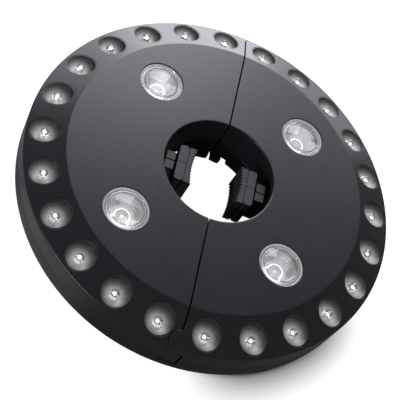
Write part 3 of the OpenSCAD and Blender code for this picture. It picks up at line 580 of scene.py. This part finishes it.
# name, shape, places, finish, slot, nodes that it stands for, smooth angle
LIGHT_PIECES = (
    ("rim_domes", rim_dome, rim_places, "rim_led", "rim_led", ["rim_leds"], 35),
    ("rim_lead_frames", rim_lead_frame, rim_places, "contact", "contact", [], 35),
    ("rim_phosphor", rim_phosphor, rim_places, "rim_phosphor", "rim_led", [], 20),
    ("main_caps", main_cap, main_places, "main_led", "main_led", ["main_leds"], 35),
    ("main_legs", main_legs, main_places, "contact", "contact", [], 35),
    ("clear_lenses", main_lens, main_places, "lens", "lens", ["main_lenses"], 35),
)


def half_lights(side):
    """The lights of a half, with every kind of part as one piece."""
    for part, shape, places, finish, slot, nodes, smooth_angle in LIGHT_PIECES:
        name = side + "_" + part
        mesh = to_mesh(copies(shape(), places(side)), name, smooth_angle)
        put(name, mesh, FINISHES[finish], side + "_half",
            [side + "_" + node for node in nodes])


# ---- springs ----

def coil(radius, wire, length, turns, per_turn=20, sides=8):
    """A wire coil along +Z from z = 0, with closed flat ends."""
    work = bmesh.new()
    steps = int(turns * per_turn)
    start = Matrix.Translation((radius, 0, wire)) @ Matrix.Rotation(math.pi / 2, 4, "X")
    ring = bmesh.ops.create_circle(work, cap_ends=False, radius=wire, segments=sides,
                                   matrix=start)["verts"]
    around = list({edge for vert in ring for edge in vert.link_edges})
    rise = length - 2 * wire
    bmesh.ops.spin(work, geom=ring + around, cent=(0, 0, 0), axis=(0, 0, 1),
                   dvec=(0, 0, rise / steps), angle=math.tau * turns, steps=steps,
                   use_duplicate=False)
    open_edges = [edge for edge in work.edges if len(edge.link_faces) == 1]
    bmesh.ops.holes_fill(work, edges=open_edges, sides=0)
    bmesh.ops.recalc_face_normals(work, faces=work.faces)
    return work


def coil_springs(name, node, body, ends, radius, wire, turns):
    """Steel coils between pairs of points, in place of a node's plain tubes."""
    places = [Matrix.Translation(start) @ turned_to(end - start) for start, end in ends]
    length = (ends[0][1] - ends[0][0]).length
    mesh = to_mesh(copies(coil(radius - wire, wire, length, turns), places), name, 60)
    return put(name, mesh, FINISHES["steel"], body, [node])


def travel_of(joint):
    """How far a sliding joint moves, in metres."""
    return next(j for j in frame["joints"] if j["name"] == joint)["range_m"][1]


def jaw_coils(side):
    """The two coils behind a jaw."""
    low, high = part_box(side + "_jaw_springs")
    radius = (high.z - low.z) / 2
    z = (high.z + low.z) / 2
    if side == "left":
        wall, moving = low.x, high.x - COIL_PLAY
    else:
        wall, moving = high.x, low.x + COIL_PLAY
    ends = [(Vector((wall, y, z)), Vector((moving, y, z)))
            for y in (low.y + radius, high.y - radius)]
    piece = coil_springs(side + "_jaw_coils", side + "_jaw_springs", side + "_half", ends,
                         radius, JAW_WIRE, JAW_TURNS)
    travel = travel_of(side + "_jaw_slide")
    length = abs(moving - wall)
    (length - travel) / length
    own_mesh(piece)


def catch_coil():
    """The coil behind the catch button."""
    low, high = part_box("catch_spring")
    radius = (high.x - low.x) / 2
    x, z = (low.x + high.x) / 2, (low.z + high.z) / 2
    ends = [(Vector((x, low.y, z)), Vector((x, high.y, z)))]
    piece = coil_springs("catch_coil", "catch_spring", "left_half", ends,
                         radius, CATCH_WIRE, CATCH_TURNS)
    travel = travel_of("catch_press")
    length = high.y - low.y
    (length - travel) / length
    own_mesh(piece)


# ---- finishes of the solids ----

def dress_nodes():
    """Gives every solid the finish of its slot; the two kinds of reflector share one slot."""
    for row in frame["record"]["subparts"]:
        finish = row["material_slot"]
        if finish == "reflector":
            finish = "rim_reflector" if "rim" in row["node"] else "main_reflector"
        for holder in frame["nodes"][row["node"]].material_slots:
            holder.material = FINISHES[finish]


# ---- studio ----

CAMERA_PLACE = Vector((-104.523, -312.977, 450.25)) * MM
VIEW_TURN = math.radians(18.568)
VIEW_DOWN = math.radians(53.619)
VIEW_ROLL = math.radians(35.5285)
LENS = 88.736
SENSOR_WIDTH = 36

SOFTBOX_TINT = (1.0, 0.955, 1.05)
# name, place, point that it faces, width, height, radiance
SOFTBOXES = (
    ("rear_softbox", (-0.04, 1.1, 0.68), (-0.04, 0, 0.68), 0.6, 1.36, 6.6),
    ("rear_right_softbox", (0.54, 1.1, 0.66), (0.54, 0, 0.66), 0.56, 1.32, 1.9),
    ("rear_left_softbox", (-0.6, 1.0, 0.4), (0, 0, 0.4), 0.5, 0.8, 2.8),
    ("front_left_strip", (-0.95, -0.85, 0.5), (0, 0, 0), 0.5, 0.1, 34.0),
)

FLOOR_HALF_WIDTH = 4
FLOOR_Z = -0.2 * MM
# Painted shadow and painted sheen on the floor: their sides, reach and strengths.
SHADOW_SIDE = (0.643, -0.766)
SHADOW_REACH = 21 * MM
SHADOW_STRENGTH = 1.75
SHEEN_SIDE = (-0.755, -0.656)
SHEEN_STRENGTH = 0.26


def camera():
    """The camera that the photograph's perspective gives: its turn, tilt, roll and lens."""
    ahead = Vector((math.sin(VIEW_TURN) * math.cos(VIEW_DOWN),
                    math.cos(VIEW_TURN) * math.cos(VIEW_DOWN), -math.sin(VIEW_DOWN)))
    level = Vector((math.cos(VIEW_TURN), -math.sin(VIEW_TURN), 0))
    right = level * math.cos(VIEW_ROLL) + level.cross(ahead) * math.sin(VIEW_ROLL)
    up = right.cross(ahead)
    turn = Matrix((right, up, -ahead)).transposed().to_4x4()
    data = bpy.data.cameras.new("camera")
    data.lens = LENS
    data.sensor_width = SENSOR_WIDTH
    eye = bpy.data.objects.new("camera", data)
    eye.matrix_world = Matrix.Translation(CAMERA_PLACE) @ turn
    bpy.context.scene.collection.objects.link(eye)
    bpy.context.scene.camera = eye


def softbox(name, place, aim, width, height, radiance):
    """A soft lamp, slightly violet, that faces a point."""
    data = bpy.data.lights.new(name, "AREA")
    data.color = SOFTBOX_TINT
    data.shape = "RECTANGLE"
    data.size = width
    data.size_y = height
    data.energy = radiance * math.pi * width * height
    lamp = bpy.data.objects.new(name, data)
    lamp.matrix_world = Matrix.Translation(place) @ turned_to(Vector(place) - Vector(aim))
    lamp.visible_camera = False
    bpy.context.scene.collection.objects.link(lamp)


def seen_ray(path):
    """1 for rays from the camera, straight or through the clear parts."""
    return path.of("Is Camera Ray") + path.of("Is Transmission Ray")


def floor():
    """A pale floor, white to the camera, with a soft shadow painted along the lower right edge, and a painted
    sheen that shows only in reflections on one side.
    """
    work = bmesh.new()
    bmesh.ops.create_grid(work, x_segments=1, y_segments=1, size=FLOOR_HALF_WIDTH)
    bmesh.ops.translate(work, verts=work.verts, vec=(0, 0, FLOOR_Z))
    mesh = bpy.data.meshes.new("floor")
    work.to_mesh(mesh)
    work.free()
    paint = Paint("floor_white")
    path = paint.node("ShaderNodeLightPath")
    x, y, z = paint.axes()
    reach = (x * x + y * y).math("SQRT")

    def towards(side, spread):
        """1 towards a side of the lamp, 0 where the cosine of the angle off it is below spread."""
        return ((x * side[0] + y * side[1]) / reach).smooth(spread, 1.0)

    sky = paint.node("ShaderNodeAmbientOcclusion", {"samples": 8}, {"Distance": SHADOW_REACH})
    outside = reach.smooth(60 * MM, 90 * MM)
    # painted shadow: contact shade kept only on the lower right side and outside the passage
    shadow = (1.0 - sky.of("AO")) * towards(SHADOW_SIDE, 0.8) * outside * SHADOW_STRENGTH
    # painted sheen: glow that only reflections see, on one side
    sheen = path.of("Is Glossy Ray") * towards(SHEEN_SIDE, 0.9) * SHEEN_STRENGTH
    lift = seen_ray(path) * (1.0 - shadow) + sheen
    lit = paint.node("ShaderNodeBsdfDiffuse", None, {"Color": grey(0.4)})
    glow = paint.node("ShaderNodeEmission", None, {"Color": grey(1.0), "Strength": lift})
    paint.show(paint.node("ShaderNodeAddShader", None, {0: lit, 1: glow}))
    mesh.materials.append(paint.owner)
    ground = bpy.data.objects.new("floor", mesh)
    bpy.context.scene.collection.objects.link(ground)


def surroundings():
    """A dim even studio, white where the camera sees it, also through clear parts."""
    world = bpy.data.worlds.new("studio")
    bpy.context.scene.world = world
    paint = Paint("studio", world)
    path = paint.node("ShaderNodeLightPath")
    light = paint.node("ShaderNodeBackground", None,
                       {"Color": grey(1.0), "Strength": 0.2 + seen_ray(path) * 0.8})
    paint.node("ShaderNodeOutputWorld", None, {"Surface": light})


dress_nodes()
for half in SIDES:
    half_lights(half)
    jaw_coils(half)
catch_coil()
floor()
surroundings()
for row in SOFTBOXES:
    softbox(*row)
camera()
bpy.context.scene.view_settings.view_transform = "Standard"
